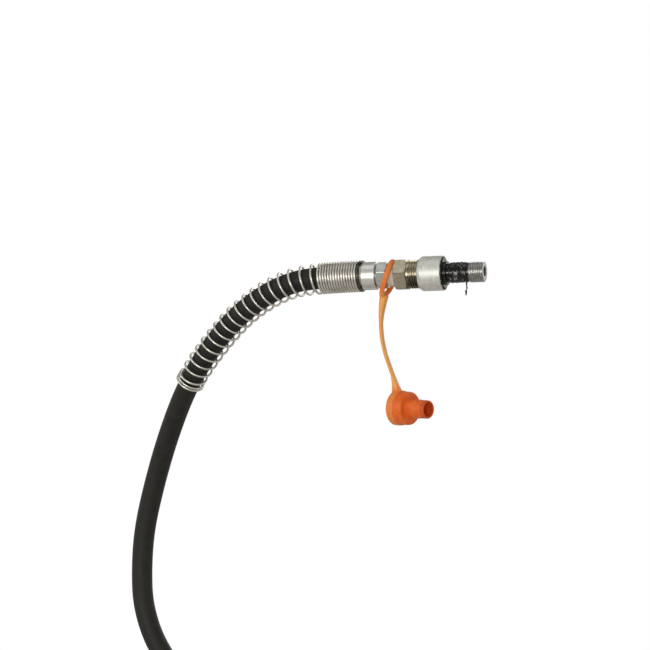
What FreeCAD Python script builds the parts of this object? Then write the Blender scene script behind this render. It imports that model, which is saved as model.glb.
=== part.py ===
import FreeCAD, Part
import math
import os
import Sketcher
from FreeCAD import Placement, Rotation, Vector

# Hydraulic hose assembly: a screw coupler whose port half stays in the cylinder, a crimped hose
# end in a wire spring guard, the hose, its coiled spare length and the fitting on its far end.
# Units are millimetres. The origin is the middle of the port face, +X points along the coupler
# into the port, +Z is up. The hose leaves towards -X, and a "station" is a distance along -X.

SIZES = {
    # port nipple
    "nipple_thread_rad": 8.3, "nipple_neck_rad": 7.6, "nipple_bore_rad": 4.0,
    "port_thread_len": 12.0, "socket_thread_len": 8.4, "lead_chamfer": 0.8,
    "tape_from": 1.5, "tape_to": 15.5, "tape_rad": 8.1,
    # port half of the coupler, its collar and the ring that keeps the collar on
    "boss_from": 17.6, "boss_rad": 9.4, "flange_from": 20.0, "flange_to": 30.0, "flange_rad": 12.0,
    "barrel_rad": 9.3, "ring_groove_from": 26.1, "ring_groove_to": 27.9, "ring_groove_rad": 11.2,
    "ring_rad": 12.0, "ring_wire_rad": 0.75,
    "collar_from": 20.6, "collar_to": 40.1, "collar_rad": 13.7, "collar_rear_bore": 12.3,
    "collar_front_bore": 11.7, "collar_shoulder": 31.0, "collar_groove_from": 25.9,
    "collar_groove_to": 28.1, "collar_groove_rad": 13.05, "collar_rear_chamfer": 1.0,
    "collar_front_chamfer": 2.3, "collar_mouth_rad": 12.05,
    "seal_from": 36.1, "seal_to": 37.6, "seal_groove_rad": 8.0, "seal_rad": 8.75, "seal_wire_rad": 0.7,
    # valve in each half, measured from the plane where the two noses meet
    "meet_station": 38.7, "face_gap": 0.2, "nose_gap": 0.02, "orifice_rad": 3.6, "orifice_len": 1.2,
    "cone_len": 2.7, "chamber_rad": 6.3, "guide_from": 11.5, "guide_to": 12.7, "guide_rad": 7.2,
    "hub_rad": 3.2, "hub_len": 1.4, "hub_bore_rad": 1.95, "flow_hole_rad": 1.1, "flow_hole_circle": 5.0,
    "nose_rad": 1.8, "nose_len": 1.23, "head_rad": 5.8, "head_len": 1.05, "stem_rad": 1.7,
    "spring_rad": 4.3, "spring_wire_rad": 0.4, "spring_turns": 3.5,
    # hose half of the coupler
    "thread_from": 33.0, "thread_to": 48.0, "thread_rad": 11.35, "plug_bore_rad": 9.6,
    "relief_rad": 10.6, "plug_hex_from": 49.5, "plug_hex_to": 59.6, "plug_hex_flats": 23.0,
    "plug_hex_chamfer": 1.0, "plug_thread_bore_rad": 8.6,
    # hose-end fitting and its crimped ferrule, measured from the tip of the fitting
    "fitting_tip": 51.4, "fitting_thread_rad": 8.6, "fitting_thread_len": 15.0, "fitting_bore_rad": 2.4,
    "fitting_hex_len": 7.7, "fitting_hex_flats": 19.0, "fitting_hex_chamfer": 0.6, "groove_len": 1.1,
    "groove_rad": 7.6, "lip_len": 2.0, "lip_rad": 5.0, "barb_rad": 3.3, "barb_root_rad": 3.0,
    "barb_len": 34.0, "barb_pitch": 4.0,
    "fitting_tape_from": 8.5, "fitting_tape_to": 14.5, "fitting_tape_rad": 8.95,
    "ferrule_len": 37.8, "ferrule_rad": 11.1, "ferrule_plain_len": 10.8, "crimp_rad": 10.3,
    "crimp_step": 0.6, "ferrule_chamfer": 0.5,
    # hose
    "hose_rad": 8.7, "liner_rad": 4.7, "braid_rad": 6.4,
    "surface_drop": 361.3, "tie_thick": 0.8, "tie_width": 14.0, "tie_turns": 0.0625,
    "coil_inner_rad": 88.0, "coil_growth": 20.0, "coil_turns": 1.25, "coil_centre_station": 211.3,
    "coil_centre_side": 14.0, "coil_swing": 9.0, "bend_tilt": 32.0,
    # spring guard
    "guard_from": 86.8, "guard_wire_rad": 0.92, "guard_closed_rad": 11.6, "guard_open_rad": 11.05,
    "guard_closed_pitch": 2.17, "guard_closed_turns": 16.0, "guard_open_pitch": 8.55,
    "guard_last_pitch": 9.55, "guard_open_turns": 17.5, "guard_end_pitch": 2.4, "guard_end_turns": 2.5,
    # dust cap, its strap and the strap's ring
    "cap_rad": 13.3, "cap_len": 14.4, "cap_bore_rad": 11.7, "cap_bore_len": 12.0, "cap_rim_rad": 13.9,
    "cap_rim_len": 2.2, "cap_nose_rad": 7.5, "cap_nose_bore": 5.7, "cap_nose_len": 18.4,
    "cap_station": 63.4, "cap_side": 1.9, "cap_drop": 104.3, "cap_turn": 24.0, "cap_tilt": 3.5,
    "strap_width": 6.0, "strap_thick": 2.1, "loop_bore_rad": 12.3, "loop_rad": 14.8, "loop_thick": 2.6,
    "loop_station": 66.0, "loop_drop": 1.95, "loop_tilt": 19.0, "cap_swing": 1.7,
}

doc = FreeCAD.newDocument("hose_assembly")
sheet = doc.addObject("Spreadsheet::Sheet", "Sizes")
for row, (alias, number) in enumerate(SIZES.items(), start=1):
    sheet.set("A%d" % row, alias)
    sheet.set("B%d" % row, str(number))
    sheet.setAlias("B%d" % row, alias)
doc.recompute()


class Size:
    """A length that knows its number and the expression that binds it to the sheet."""

    def __init__(self, number, text):
        self.number = number
        self.text = text

    def __float__(self):
        return float(self.number)

    def __add__(self, other):
        return join(self, "+", other)

    def __sub__(self, other):
        return join(self, "-", other)

    def __mul__(self, other):
        return join(self, "*", other)

    def __neg__(self):
        return Size(-self.number, "-(%s)" % self.text)


def join(left, sign, right):
    """The sum, difference or product of two sizes, as a size."""
    right = right if isinstance(right, Size) else Size(right, repr(right))
    numbers = {"+": left.number + right.number, "-": left.number - right.number, "*": left.number * right.number}
    return Size(numbers[sign], "(%s %s %s)" % (left.text, sign, right.text))


def size(alias):
    """One cell of the sheet."""
    return Size(float(sheet.get(alias)), "Sizes." + alias)


def read(alias):
    """The number in one cell of the sheet."""
    return float(sheet.get(alias))


def bind(obj, prop, length):
    """Sets a property from a size, through an expression."""
    obj.setExpression(prop, length.text)


ZERO = Size(0.0, "0")
TOWARDS_HOSE = Rotation(Vector(0, 0, 1), 180)
finished = {}


def finish(name, obj, placement=None):
    """Names a finished sub-part and puts it in its place."""
    obj.Label = name
    if placement is not None:
        obj.Placement = placement
    finished[name] = obj
    return obj


def at_station(name, obj, station, turn=TOWARDS_HOSE):
    """Finishes a piece whose own x axis starts at a station and runs towards the hose."""
    finish(name, obj, Placement(Vector(-float(station), 0, 0), turn))
    bind(obj, "Placement.Base.x", -station)
    return obj


def origin_plane(body, role):
    """One of a body's own origin planes."""
    return next(item for item in body.Origin.OriginFeatures if item.Role == role)


def turned(name, outline):
    """A body turned about its own x axis from a closed outline of (along, radius) corners."""
    body = doc.addObject("PartDesign::Body", name)
    sketch = body.newObject("Sketcher::SketchObject", name + "_outline")
    sketch.AttachmentSupport = [(origin_plane(body, "XY_Plane"), "")]
    sketch.MapMode = "FlatFace"
    corners = [Vector(float(along), float(radius), 0) for along, radius in outline]
    count = len(corners)
    for index in range(count):
        sketch.addGeometry(Part.LineSegment(corners[index], corners[(index + 1) % count]))
    for index in range(count):
        sketch.addConstraint(Sketcher.Constraint("Coincident", index, 2, (index + 1) % count, 1))
    for index, corner in enumerate(outline):
        for axis, kind, length in ((-2, "DistanceX", corner[0]), (-1, "DistanceY", corner[1])):
            if float(length) == 0.0:
                sketch.addConstraint(Sketcher.Constraint("PointOnObject", index, 1, axis))
                continue
            rule = sketch.addConstraint(Sketcher.Constraint(kind, -1, 1, index, 1, float(length)))
            sketch.setExpression("Constraints[%d]" % rule, length.text)
    revolution = body.newObject("PartDesign::Revolution", name + "_turning")
    revolution.Profile = sketch
    revolution.ReferenceAxis = (sketch, ["H_Axis"])
    revolution.Angle = 360
    body.Tip = revolution
    return body


def drilled(body, name, radius, circle, depth, count):
    """Cuts a ring of holes right through a turned body, parallel with its axis."""
    sketch = body.newObject("Sketcher::SketchObject", name + "_hole")
    sketch.AttachmentSupport = [(origin_plane(body, "YZ_Plane"), "")]
    sketch.MapMode = "FlatFace"
    sketch.addGeometry(Part.Circle(Vector(float(circle), 0, 0), Vector(0, 0, 1), float(radius)))
    sketch.addConstraint(Sketcher.Constraint("PointOnObject", 0, 3, -1))
    place = sketch.addConstraint(Sketcher.Constraint("DistanceX", -1, 1, 0, 3, float(circle)))
    sketch.setExpression("Constraints[%d]" % place, circle.text)
    rule = sketch.addConstraint(Sketcher.Constraint("Radius", 0, float(radius)))
    sketch.setExpression("Constraints[%d]" % rule, radius.text)
    doc.recompute()
    before = body.Shape.Volume
    pocket = body.newObject("PartDesign::Pocket", name + "_drilling")
    pocket.Profile = sketch
    pocket.Type = "ThroughAll"
    pocket.Midplane = True
    pattern = body.newObject("PartDesign::PolarPattern", name + "_pattern")
    pattern.Originals = [pocket]
    pattern.Axis = (sketch, ["N_Axis"])
    pattern.Angle = 360
    pattern.Occurrences = count
    body.Tip = pattern
    doc.recompute()
    expected = count * math.pi * float(radius) ** 2 * float(depth)
    print("%s: holes took %.1f mm3, expected %.1f" % (name, before - body.Shape.Volume, expected))
    return body


def hexagon(name, along, length, flats, chamfer, bore, twist):
    """A hexagon bar about the x axis, its corners chamfered at both ends, with a bore."""
    prism = doc.addObject("Part::Prism", name + "_hexagon")
    prism.Polygon = 6
    bind(prism, "Circumradius", flats * (1 / math.sqrt(3)))
    bind(prism, "Height", length)
    turn = Rotation(Vector(0, 1, 0), 90) * Rotation(Vector(0, 0, 1), twist)
    prism.Placement = Placement(Vector(float(along), 0, 0), turn)
    bind(prism, "Placement.Base.x", along)
    corner = flats * (1 / math.sqrt(3))
    end = along + length
    envelope = turned(name + "_hex_envelope", [
        (along, bore), (along, corner - chamfer * 1.7), (along + chamfer, corner),
        (end - chamfer, corner), (end, corner - chamfer * 1.7), (end, bore)])
    both = doc.addObject("Part::Common", name + "_hex")
    both.Base = prism
    both.Tool = envelope
    return both


def fused(name, first, second):
    """Two solids of one piece, joined."""
    joined = doc.addObject("Part::Fuse", name)
    joined.Base = first
    joined.Tool = second
    joined.Refine = False
    return joined


def ring(name, major, minor, station):
    """A round-section ring about the coupler axis."""
    torus = doc.addObject("Part::Torus", name)
    bind(torus, "Radius1", major)
    bind(torus, "Radius2", minor)
    return at_station(name, torus, station, Rotation(Vector(0, 1, 0), 90))


# --- round rod along straight runs and tangent arcs -----------------------------------------

def arc_path(points, name=""):
    """Straight runs through the points with each corner rounded by a tangent arc."""
    path = []
    start = points[0]
    radii = []
    for before, corner, after in zip(points, points[1:], points[2:]):
        into = corner - before
        out = after - corner
        turn = into.getAngle(out)
        trim = 0.45 * min(into.Length, out.Length)
        radius = trim / math.tan(turn / 2)
        radii.append(radius)
        into.normalize()
        out.normalize()
        axis = into.cross(out).normalize()
        arc_start = corner - into * trim
        centre = arc_start + axis.cross(into) * radius
        path.append(("line", start, arc_start))
        path.append(("arc", arc_start, centre, axis, turn))
        start = corner + out * trim
    path.append(("line", start, points[-1]))
    if name:
        print("%s: radii %s" % (name, " ".join("%.0f" % radius for radius in radii)))
    return path


def step_length(step):
    """The length of one run or arc."""
    if step[0] == "line":
        return (step[2] - step[1]).Length
    return (step[1] - step[2]).Length * step[4]


def turn_about(vector, axis, angle):
    """A vector turned about an axis by an angle in radians."""
    return Rotation(axis, math.degrees(angle)).multVec(vector)


def step_direction(step):
    """The direction in which one run or arc starts."""
    if step[0] == "line":
        return (step[2] - step[1]).normalize()
    return step[3].cross(step[1] - step[2]).normalize()


def point_along(path, distance):
    """The point and direction at a distance along a path."""
    for step in path:
        length = step_length(step)
        if distance <= length:
            break
        distance -= length
    distance = min(distance, length)
    direction = step_direction(step)
    if step[0] == "line":
        return step[1] + direction * distance, direction
    angle = distance / (step[1] - step[2]).Length
    point = step[2] + turn_about(step[1] - step[2], step[3], angle)
    return point, turn_about(direction, step[3], angle)


def rod(path, radius, inner=0.0):
    """A round rod or tube along a path: each run is a cylinder and each arc part of a torus."""
    first_direction = step_direction(path[0])
    solids = []
    for wall in [radius] + ([inner] if inner else []):
        edge = Part.Edge(Part.Circle(path[0][1], first_direction, wall))
        start_cap = Part.Face(Part.Wire(edge))
        faces = []
        for step in path:
            if step[0] == "line":
                move = step[2] - step[1]
                faces.append(edge.extrude(move))
                edge = edge.translated(move)
            else:
                degrees = math.degrees(step[4])
                faces.append(edge.revolve(step[2], step[3], degrees))
                edge = edge.rotated(step[2], step[3], degrees)
        end_cap = Part.Face(Part.Wire(edge))
        shell = Part.makeShell(faces + [start_cap, end_cap])
        shell.sewShape()
        solid = Part.makeSolid(shell)
        if solid.Volume < 0:
            solid.reverse()
        solids.append(solid)
    return solids[0].cut(solids[1]) if inner else solids[0]


def shaped(name, shape, placement=None):
    """A sub-part whose shape comes straight from Part's own functions."""
    feature = doc.addObject("Part::Feature", name)
    feature.Shape = shape
    return finish(name, feature, placement)


def wound(crests, wire_radius):
    """A wire coil: each half turn is an arc from one crest to the next, alternately on the +Y and
    the -Y side. Every crest lies in the plane y = 0 and is passed along Y, so the arcs join smoothly."""
    path = []
    side = 1
    for here, there in zip(crests, crests[1:]):
        across = there - here
        centre = here + across * 0.5
        axis = (here - centre).cross(Vector(0, side, 0)).normalize()
        path.append(("arc", here, centre, axis, math.pi))
        side = -side
    return rod(path, wire_radius)


# --- port half ------------------------------------------------------------------------------

def port_nipple():
    thread = size("port_thread_len")
    neck_end = thread + size("boss_from")
    end = neck_end + size("socket_thread_len")
    lead = size("lead_chamfer")
    bore, big, neck = size("nipple_bore_rad"), size("nipple_thread_rad"), size("nipple_neck_rad")
    body = turned("port_nipple", [
        (ZERO, bore), (ZERO, big - lead), (lead, big), (thread, big), (thread, neck), (neck_end, neck),
        (neck_end, big), (end - lead, big), (end, big - lead), (end, bore)])
    at_station("port_nipple", body, -thread)


def nipple_tape():
    start, end = size("tape_from"), size("tape_to")
    neck, rad = size("nipple_neck_rad"), size("tape_rad")
    body = turned("nipple_tape", [(ZERO, neck), (ZERO, rad), (end - start, rad), (end - start, neck)])
    at_station("nipple_tape", body, start)


def valve_bore(face, sign, start):
    """The valve cavity of one half from its front face to its guide, as outline corners."""
    orifice = face + size("orifice_len") * sign
    chamber = orifice + size("cone_len") * sign
    seat = size("meet_station") + (size("guide_from")) * sign
    back = size("meet_station") + (size("guide_to")) * sign
    return [(face - start, size("orifice_rad")), (orifice - start, size("orifice_rad")),
            (chamber - start, size("chamber_rad")), (seat - start, size("chamber_rad")),
            (seat - start, size("guide_rad")), (back - start, size("guide_rad"))]


def socket_body():
    start = size("boss_from")
    face = size("meet_station") - size("face_gap")
    inside = valve_bore(face, -1, start)
    back = inside[-1][0]
    outline = [
        (ZERO, size("nipple_thread_rad")), (ZERO, size("boss_rad") - 0.9), (Size(0.9, "0.9"), size("boss_rad")),
        (size("flange_from") - start, size("boss_rad")), (size("flange_from") - start, size("flange_rad") - 0.4),
        (size("flange_from") - start + 0.4, size("flange_rad")),
        (size("ring_groove_from") - start, size("flange_rad")),
        (size("ring_groove_from") - start, size("ring_groove_rad")),
        (size("ring_groove_to") - start, size("ring_groove_rad")),
        (size("ring_groove_to") - start, size("flange_rad")), (size("flange_to") - start, size("flange_rad")),
        (size("flange_to") - start, size("barrel_rad")), (size("seal_from") - start, size("barrel_rad")),
        (size("seal_from") - start, size("seal_groove_rad")), (size("seal_to") - start, size("seal_groove_rad")),
        (size("seal_to") - start, size("barrel_rad")), (face - start - 0.3, size("barrel_rad")),
        (face - start, size("barrel_rad") - 0.3)]
    outline += inside + [(back, size("nipple_thread_rad"))]
    at_station("socket_body", turned("socket_body", outline), start)


def collar():
    start, end = size("collar_from"), size("collar_to")
    rear, front, groove = size("collar_rear_bore"), size("collar_front_bore"), size("collar_groove_rad")
    body = turned("collar", [
        (ZERO, rear), (ZERO, size("collar_rad") - size("collar_rear_chamfer")),
        (size("collar_rear_chamfer"), size("collar_rad")),
        (end - start - size("collar_front_chamfer"), size("collar_rad")), (end - start, size("collar_mouth_rad")),
        (end - start, front), (size("collar_shoulder") - start, front), (size("collar_shoulder") - start, rear),
        (size("collar_groove_to") - start, rear), (size("collar_groove_to") - start, groove),
        (size("collar_groove_from") - start, groove), (size("collar_groove_from") - start, rear)])
    at_station("collar", body, start)


# --- valves ---------------------------------------------------------------------------------

def poppet(name, sign):
    """A valve poppet, nose first: nose, sealing cone, head and guide stem."""
    nose, head, stem = size("nose_rad"), size("head_rad"), size("stem_rad")
    cone_start = size("nose_len")
    head_start = cone_start + head - nose
    head_end = head_start + size("head_len")
    end = size("guide_to") - size("nose_gap")
    body = turned(name, [
        (ZERO, ZERO), (ZERO, nose - 0.3), (Size(0.3, "0.3"), nose), (cone_start, nose), (head_start, head),
        (head_end, head), (head_end, stem), (end, stem), (end, ZERO)])
    place_valve(name, body, size("nose_gap"), sign)


def guide(name, sign):
    """The spider that guides a poppet's stem and backs its spring."""
    start, end = size("guide_from") - size("hub_len"), size("guide_to")
    disc, hub, bore = size("guide_rad"), size("hub_rad"), size("hub_bore_rad")
    body = turned(name, [
        (ZERO, bore), (ZERO, hub), (size("hub_len"), hub), (size("hub_len"), disc),
        (end - start, disc), (end - start, bore)])
    drilled(body, name, size("flow_hole_rad"), size("flow_hole_circle"), end - size("guide_from"), 6)
    place_valve(name, body, start, sign)


def place_valve(name, body, distance, sign):
    """Puts a valve piece at a distance from the plane where the noses meet, in either half."""
    turn = TOWARDS_HOSE if sign > 0 else Rotation()
    at_station(name, body, size("meet_station") + distance * sign, turn)


def valve_spring(name, sign):
    """The spring between a poppet's head and its guide."""
    wire, rad = read("spring_wire_rad"), read("spring_rad")
    head = read("nose_len") + read("head_rad") - read("nose_rad") + read("head_len") + read("nose_gap")
    start, end = head + wire + 0.05, read("guide_from") - wire - 0.05
    halves = int(2 * read("spring_turns"))
    crests = []
    for index in range(halves + 1):
        station = read("meet_station") + sign * (start + (end - start) * index / halves)
        crests.append(Vector(-station, 0, rad if index % 2 == 0 else -rad))
    shaped(name, wound(crests, wire))


# --- hose half ------------------------------------------------------------------------------

def plug_body():
    start = size("thread_from")
    face = size("meet_station") + size("face_gap")
    inside = valve_bore(face, 1, start)
    inner = [(ZERO, size("plug_bore_rad")), (face - start, size("plug_bore_rad"))] + inside
    inner += [(inside[-1][0], size("plug_thread_bore_rad")), (size("plug_hex_to") - start, size("plug_thread_bore_rad"))]
    relief = size("relief_rad")
    outer = [(size("plug_hex_to") - start, relief), (size("thread_to") - start, relief),
             (size("thread_to") - start, size("thread_rad")), (size("lead_chamfer"), size("thread_rad")),
             (ZERO, size("thread_rad") - size("lead_chamfer"))]
    core = turned("plug_core", inner + outer)
    flats = size("plug_hex_flats")
    across = hexagon("plug", size("plug_hex_from") - start, size("plug_hex_to") - size("plug_hex_from"),
                     flats, size("plug_hex_chamfer"), relief - 0.5, 30)
    at_station("plug_body", fused("plug_body", core, across), start)


def hose_end_places():
    """Where the two hose ends sit: the near one on the coupler axis, the far one on the coil."""
    near = Placement(Vector(-read("fitting_tip"), 0, 0), TOWARDS_HOSE)
    mouth, heading = far_mouth, far_heading
    length = ferrule_mouth()
    turn = Rotation(Vector(1, 0, 0), -heading)
    return {"near": near, "far": Placement(mouth + heading * length, turn)}


def ferrule_start():
    """Where the ferrule starts, from the tip of the fitting."""
    return read("fitting_thread_len") + read("fitting_hex_len") + read("groove_len")


def ferrule_mouth():
    """Where the hose leaves the ferrule, from the tip of the fitting."""
    return ferrule_start() + read("ferrule_len")


def hose_fitting(name, placement):
    """The fitting: taper thread, hexagon, ferrule groove and the barbed stem inside the hose."""
    lead, bore = size("lead_chamfer"), size("fitting_bore_rad")
    thread, hexa = size("fitting_thread_len"), size("fitting_hex_len")
    start = thread + hexa + size("groove_len")
    lip = start + size("lip_len")
    outline = [
        (ZERO, bore), (ZERO, size("fitting_thread_rad") - lead), (lead, size("fitting_thread_rad")),
        (thread + hexa * 0.5, size("fitting_thread_rad")), (thread + hexa * 0.5, size("groove_rad")),
        (start, size("groove_rad")), (start, size("lip_rad")), (lip, size("lip_rad")), (lip, size("barb_root_rad"))]
    barbs = int(read("barb_len") // read("barb_pitch"))
    for index in range(barbs):
        foot = lip + size("barb_pitch") * index
        outline += [(foot + size("barb_pitch") * 0.3, size("barb_rad")),
                    (foot + size("barb_pitch") * 0.95, size("barb_root_rad"))]
    end = lip + size("barb_pitch") * barbs
    outline += [(end, size("barb_root_rad")), (end, bore)]
    core = turned(name + "_core", outline)
    across = hexagon(name, thread, hexa, size("fitting_hex_flats"), size("fitting_hex_chamfer"),
                     size("groove_rad") - 0.5, 30 + 11.6)
    finish(name, fused(name, core, across), placement)


def ferrule(name, placement):
    """The crimped ferrule: plain at the fitting, squeezed where the spring guard grips it."""
    start = size("fitting_thread_len") + size("fitting_hex_len") + size("groove_len")
    lip, mouth = start + size("lip_len"), start + size("ferrule_len")
    plain = start + size("ferrule_plain_len")
    edge = size("ferrule_chamfer")
    body = turned(name, [
        (start, size("lip_rad")), (start, size("ferrule_rad") - edge), (start + edge, size("ferrule_rad")),
        (plain, size("ferrule_rad")), (plain + size("crimp_step"), size("crimp_rad")),
        (mouth - edge, size("crimp_rad")), (mouth, size("crimp_rad") - edge), (mouth, size("hose_rad")),
        (lip, size("hose_rad")), (lip, size("lip_rad"))])
    finish(name, body, placement)


def hose_end_layers(prefix, placement):
    """The layers of the hose inside a ferrule: inner tube, wire braid and rubber cover."""
    start = size("fitting_thread_len") + size("fitting_hex_len") + size("groove_len") + size("lip_len")
    mouth = start + size("ferrule_len") - size("lip_len")
    layers = {"liner": ("barb_rad", "liner_rad"), "braid": ("liner_rad", "braid_rad"), "cover": ("braid_rad", "hose_rad")}
    for layer, (inner, outer) in layers.items():
        name = "%s_hose_%s" % (prefix, layer)
        inner, outer = size(inner), size(outer)
        body = turned(name, [(start, inner), (start, outer), (mouth, outer), (mouth, inner)])
        finish(name, body, placement)


def fitting_tape():
    start, end = size("fitting_tape_from"), size("fitting_tape_to")
    body = turned("fitting_tape", [
        (start, size("fitting_thread_rad")), (start, size("fitting_tape_rad")),
        (end, size("fitting_tape_rad")), (end, size("fitting_thread_rad"))])
    at_station("fitting_tape", body, size("fitting_tip"))


# --- hose -----------------------------------------------------------------------------------

# The hose bends down and back, in a plane tilted about the coupler's axis. Below the spring guard it
# leaves that plane and hangs down to the surface.
BEND_TILT = Rotation(Vector(1, 0, 0), read("bend_tilt"))
BEND_ROUTE = [BEND_TILT.multVec(Vector(x, 0, z)) for x, z in (
    (-113.0, 0.0), (-133.0, 0.0), (-156.0, -6.0), (-178.6, -17.7), (-200.2, -33.4), (-220.3, -52.9),
    (-238.6, -73.8), (-255.6, -96.9), (-271.8, -124.1))]
HANGING_ROUTE = [
    Vector(-288.8, 80.5, -135.2), Vector(-304.0, 92.0, -170.4), Vector(-314.0, 98.5, -201.6),
    Vector(-317.9, 101.5, -232.6), Vector(-317.5, 102.0, -263.1), Vector(-307.2, 102.0, -294.9),
    Vector(-287.6, 102.0, -321.9), Vector(-260.6, 102.0, -341.5), Vector(-228.8, 102.0, -351.8)]
HOSE_ROUTE = BEND_ROUTE + HANGING_ROUTE
# The guard's own route is in the plane y = 0 and is tilted with the finished spring.
GUARD_ROUTE = [Vector(x, 0, z) for x, z in (
    (-86.8, 0.0), (-131.0, 0.0), (-155.8, -6.5), (-178.2, -18.4), (-199.6, -34.1), (-219.6, -53.5),
    (-238.3, -74.0), (-255.9, -96.7), (-268.2, -117.6))]


def coil_radius(turns):
    """The coil's radius after some turns: it swings out where it passes under the hanging hose."""
    swing = read("coil_swing") * math.exp(-((turns - 0.88) / 0.12) ** 2)
    return read("coil_inner_rad") + read("coil_growth") * turns + swing


def coil_centre():
    """The middle of the coil, at the height of the hose's middle line."""
    height = -read("surface_drop") + read("tie_thick") + read("hose_rad")
    return Vector(-read("coil_centre_station"), read("coil_centre_side"), height)


def coil_points():
    """The coil's turns: a slow spiral on the surface, from under the hanging hose outwards."""
    centre = coil_centre()
    per_turn = 16
    count = round(per_turn * read("coil_turns"))
    # The corners stand out from the circle that the rounded line follows.
    outward = 1 / math.cos(math.pi / per_turn)
    points = []
    for index in range(1, count + 1):
        turns = (index - 0.5) / per_turn
        angle = 2 * math.pi * (turns - 0.25)
        points.append(centre + Vector(math.cos(angle), -math.sin(angle), 0) * coil_radius(turns) * outward)
    return points


coil_route = coil_points()
rise = read("ferrule_rad") - read("hose_rad")
coil_route[-2].z += rise
coil_route[-1].z += rise
far_mouth = coil_route[-1]
far_heading = (coil_route[-1] - coil_route[-2]).normalize()


def hose():
    """The hanging run and the coil, cut from one route so that they meet face to face."""
    whole = arc_path(HOSE_ROUTE + coil_route, "hose")
    hanging = 2 * (len(HOSE_ROUTE) - 1)
    for name, steps in (("hose_run", whole[:hanging]), ("hose_coil", whole[hanging:])):
        shape = rod(steps, read("hose_rad"))
        length = sum(step_length(step) for step in steps)
        expected = math.pi * read("hose_rad") ** 2 * length
        print("%s: length %.0f mm, volume %.0f, section times length %.0f" % (name, length, shape.Volume, expected))
        shaped(name, shape)


def coil_tie():
    """A strap round the two turns where they lie side by side."""
    turns, thick, width = read("tie_turns"), read("tie_thick"), read("tie_width")
    angle = -360 * (turns - 0.25)
    first, second = coil_radius(turns), coil_radius(turns + 1)
    apart = second - first

    def stadium(radius):
        blocks = [Part.makeBox(apart, width, 2 * radius, Vector(-apart / 2, -width / 2, -radius))]
        for side in (-apart / 2, apart / 2):
            blocks.append(Part.makeCylinder(radius, width, Vector(side, -width / 2, 0), Vector(0, 1, 0)))
        return blocks[0].fuse(blocks[1:])

    band = stadium(read("hose_rad") + thick).cut(stadium(read("hose_rad") + 0.02)).removeSplitter()
    turn = Rotation(Vector(0, 0, 1), angle)
    shaped("coil_tie", band, Placement(coil_centre() + turn.multVec(Vector((first + second) / 2, 0, 0)), turn))


# --- spring guard ---------------------------------------------------------------------------

def guard_pitches():
    """The pitch of each half turn: closed on the ferrule, opening out round the bend, closed at the end."""
    closed = [read("guard_closed_pitch")] * int(2 * read("guard_closed_turns"))
    count = int(2 * read("guard_open_turns"))
    first, last = read("guard_open_pitch"), read("guard_last_pitch")
    opened = [first + (last - first) * index / (count - 1) for index in range(count)]
    ended = [read("guard_end_pitch")] * int(2 * read("guard_end_turns"))
    return closed + [first / 2] + opened + ended


def spring_guard():
    """Closed coils that grip the ferrule, open coils round the bend, closed coils at the end."""
    path = arc_path(GUARD_ROUTE)
    closed_length = read("guard_closed_turns") * read("guard_closed_pitch")
    distance = 0.0
    crests = []
    side = 1
    for pitch in guard_pitches():
        blend = min(max((distance - closed_length) / 60.0, 0.0), 1.0)
        radius = read("guard_closed_rad") * (1 - blend) + read("guard_open_rad") * blend
        point, direction = point_along(path, distance)
        crests.append(point + Vector(0, 1, 0).cross(direction) * side * radius)
        side = -side
        distance += pitch / 2
    shaped("spring_guard", wound(crests, read("guard_wire_rad")), Placement(Vector(), BEND_TILT))
    print("spring_guard: %d half turns, %.0f mm of spring" % (len(crests) - 1, distance))


# --- dust cap -------------------------------------------------------------------------------

STRAP_ROUTE = [Vector(x, 0, z) for x, z in (
    (-70.2, -15.4), (-72.9, -27.0), (-73.9, -42.0), (-72.0, -57.5), (-67.6, -71.5), (-64.0, -82.0), (-62.6, -92.5))]


def band(points, width, thick):
    """A flat strap whose middle line follows the points in the plane y = 0."""
    parts = []
    for step in arc_path(points):
        direction = step_direction(step)
        across = Vector(0, 1, 0).cross(direction)
        corners = [step[1] + across * (thick / 2 * a) + Vector(0, width / 2 * b, 0)
                   for a, b in ((-1, -1), (1, -1), (1, 1), (-1, 1))]
        face = Part.Face(Part.makePolygon(corners + corners[:1]))
        if step[0] == "line":
            parts.append(face.extrude(step[2] - step[1]))
        else:
            parts.append(face.revolve(step[2], step[3], math.degrees(step[4])))
    return parts[0].fuse(parts[1:]).removeSplitter()


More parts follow.
